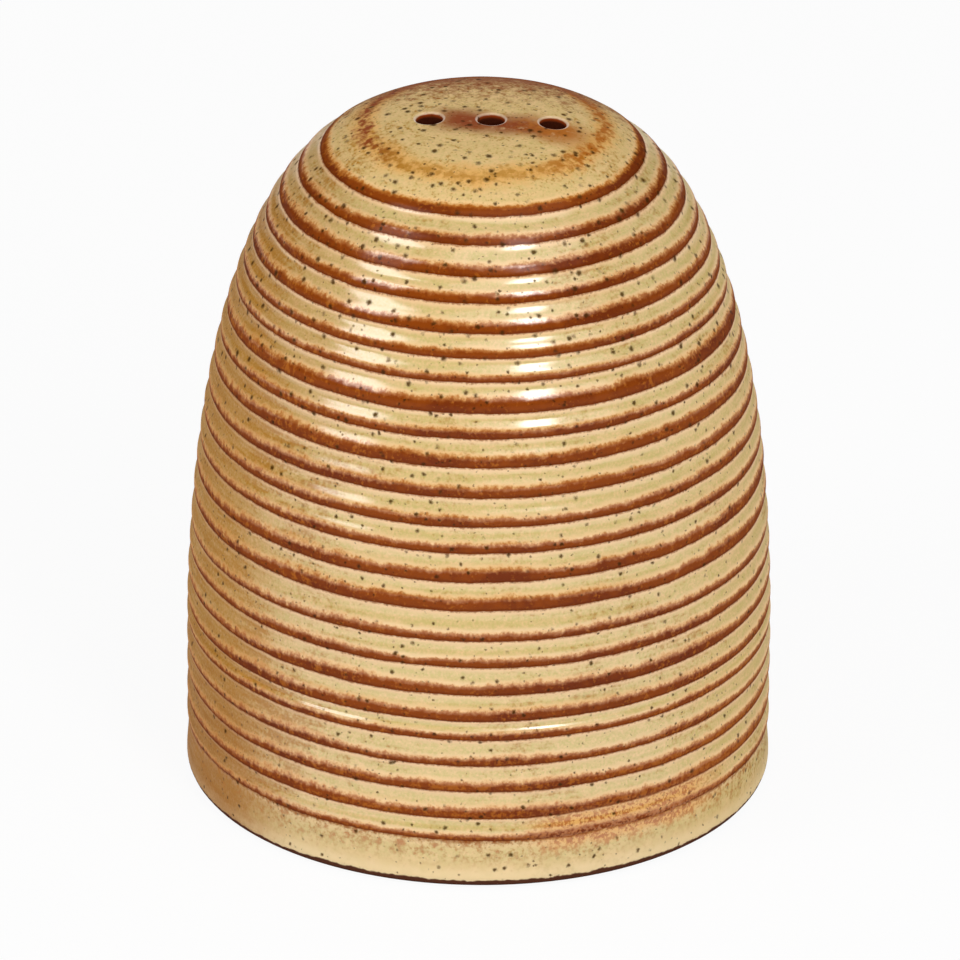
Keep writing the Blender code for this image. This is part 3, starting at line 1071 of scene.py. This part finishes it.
class SHAKER_OT_mould_stopper(bpy.types.Operator):
    """Mould the soft stopper that closes the filling hole"""
    bl_idname = "shaker.mould_stopper"
    bl_label = "Mould Stopper"

    def execute(self, context):
        settings = context.scene.shaker
        sizes = settings.stopper
        seat = settings.body.foot_recess - sizes.clearance
        hole = settings.body.filling_hole
        plug_top = sizes.clearance + settings.body.floor_thickness + sizes.plug_reach
        line = stopper_line(sizes, plug_top, hole)
        stopper = lathe("soft_stopper", [(r, seat + z) for r, z in line], STOPPER_STEPS)
        root = hole - sizes.clearance - sizes.rib_height - sizes.plug_wall
        end = hole + sizes.flange_overlap + sizes.tab_reach
        low = seat - (sizes.flange_thickness + sizes.tab_thickness) / 2
        combine(stopper, tab_shape(sizes, root, end, low), "UNION")
        for i in range(RIDGE_COUNT):
            combine(stopper, grip_ridge(sizes, end - (RIDGE_INSET + RIDGE_PITCH * i), low), "UNION")
        stopper.data.materials.clear()
        stopper.data.materials.append(silicone_finish(sizes.silicone))
        smooth(stopper)
        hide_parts("filling_stopper")
        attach(stopper, "stopper")
        return {"FINISHED"}


def floor_finish(colour):
    """Pale floor that the picture shows as white, with its shadow kept, and that is clear from below."""
    finish = Finish("pale_floor")
    finish.feed("Base Color", (*colour, 1.0))
    finish.feed("Roughness", 1.0)
    finish.feed("Specular IOR Level", 0.0)
    camera = finish.node("ShaderNodeLightPath", None, None, "Is Camera Ray")
    seen = camera.most(finish.beside(camera, "Is Glossy Ray"))
    seen = seen.most(finish.beside(camera, "Is Transmission Ray"))
    paint = Value(finish, finish.shader.outputs[0])
    white = finish.node("ShaderNodeEmission")
    lit = finish.node("ShaderNodeMixShader", None, {0: FLOOR_LIFT * seen, 1: paint, 2: white})
    behind = finish.node("ShaderNodeNewGeometry", None, None, "Backfacing")
    clear = finish.node("ShaderNodeBsdfTransparent")
    shown = finish.node("ShaderNodeMixShader", None, {0: behind, 1: lit, 2: clear})
    finish.tree.links.new(shown.socket, finish.tree.nodes["Material Output"].inputs["Surface"])
    return finish.material


def lay_floor(stage):
    """A wide round floor with an inset border."""
    deselect_all()
    bpy.ops.mesh.primitive_circle_add(vertices=FLOOR_STEPS, radius=stage.floor_size / 2, fill_type="NGON")
    ground = bpy.context.object
    ground.name = "floor"
    bpy.ops.object.mode_set(mode="EDIT")
    bpy.ops.mesh.select_all(action="SELECT")
    bpy.ops.mesh.inset(thickness=stage.floor_size / 10)
    bpy.ops.object.mode_set(mode="OBJECT")
    ground.data.materials.append(floor_finish(stage.floor))


def light_room(stage):
    """An even grey room."""
    room = bpy.data.worlds.new("grey_room")
    bpy.context.scene.world = room
    room.use_nodes = True
    room.node_tree.nodes["Background"].inputs["Color"].default_value = (*stage.room, 1.0)


def add_lamp(name, azimuth, elevation, breadth, height, power):
    """A soft rectangular lamp facing the shaker, placed by degrees round and above the camera's side."""
    deselect_all()
    turn, lift = radians(azimuth), radians(elevation)
    aim = Vector((0.0, 0.0, LAMP_AIM_HEIGHT))
    away = Vector((sin(turn) * cos(lift), -cos(turn) * cos(lift), sin(lift)))
    bpy.ops.object.light_add(type="AREA", location=aim + LAMP_DISTANCE * away)
    lamp = bpy.context.object
    lamp.name = name
    lamp.rotation_euler = away.to_track_quat("Z", "Y").to_euler()
    lamp.data.shape = "RECTANGLE"
    lamp.data.size = breadth
    lamp.data.size_y = height
    lamp.data.energy = power


def light_shaker():
    """Two softboxes, a window and two weak reflectors."""
    add_lamp("left_softbox", azimuth=-58, elevation=31, breadth=0.38, height=0.64, power=3.1)
    add_lamp("right_window", azimuth=26, elevation=35, breadth=0.2, height=0.4, power=2.5)
    add_lamp("front_softbox", azimuth=30, elevation=48, breadth=1.0, height=1.0, power=2.95)
    add_lamp("right_reflector", azimuth=100, elevation=20, breadth=0.8, height=0.8, power=0.4)
    add_lamp("back_reflector", azimuth=180, elevation=12, breadth=0.7, height=0.5, power=0.55)


def set_camera(stage):
    """The photograph's view, from in front and above, nearly free of perspective."""
    deselect_all()
    aim = Vector((0.0, 0.0, stage.aim_height))
    away = Vector((0.0, -cos(stage.elevation), sin(stage.elevation)))
    bpy.ops.object.camera_add(location=aim + stage.distance * away)
    camera = bpy.context.object
    camera.rotation_mode = "ZYX"
    camera.rotation_euler = (pi / 2 - stage.elevation, 0.0, stage.roll)
    camera.data.sensor_width = SENSOR_MM
    camera.data.lens = SENSOR_MM * stage.distance / stage.view_width
    camera.data.clip_end = 2 * stage.distance
    bpy.context.scene.camera = camera


class SHAKER_OT_set_stage(bpy.types.Operator):
    """Lay the pale floor and set up the soft lamps and the camera"""
    bl_idname = "shaker.set_stage"
    bl_label = "Set Stage"

    def execute(self, context):
        stage = context.scene.shaker.stage
        lay_floor(stage)
        light_room(stage)
        light_shaker()
        set_camera(stage)
        context.scene.view_settings.view_transform = "Standard"
        return {"FINISHED"}


class SHAKER_PT_panel(bpy.types.Panel):
    """Sizes and colours of the shaker, and the steps that make it"""
    bl_idname = "SHAKER_PT_panel"
    bl_label = "Salt Shaker"
    bl_space_type = "VIEW_3D"
    bl_region_type = "UI"
    bl_category = "Shaker"

    def draw(self, context):
        settings = context.scene.shaker
        for operator in OPERATORS:
            self.layout.operator(operator.bl_idname)
        for name in ShakerSettings.__annotations__:
            group = getattr(settings, name)
            box = self.layout.box()
            box.label(text=name.capitalize())
            for entry in group.__annotations__:
                box.prop(group, entry)


GROUPS = (BodySizes, GrooveSizes, PourHoleSizes, GlazeColours, StopperSizes, StageSizes, ShakerSettings)
OPERATORS = (SHAKER_OT_throw_body, SHAKER_OT_mould_stopper, SHAKER_OT_set_stage)
CLASSES = (*GROUPS, *OPERATORS, SHAKER_PT_panel)


def register():
    for item in CLASSES:
        bpy.utils.register_class(item)
    bpy.types.Scene.shaker = PointerProperty(type=ShakerSettings)


def unregister():
    del bpy.types.Scene.shaker
    for item in reversed(CLASSES):
        bpy.utils.unregister_class(item)


def main():
    register()
    bpy.ops.shaker.throw_body()
    bpy.ops.shaker.mould_stopper()
    bpy.ops.shaker.set_stage()


if __name__ == "__main__":
    main()
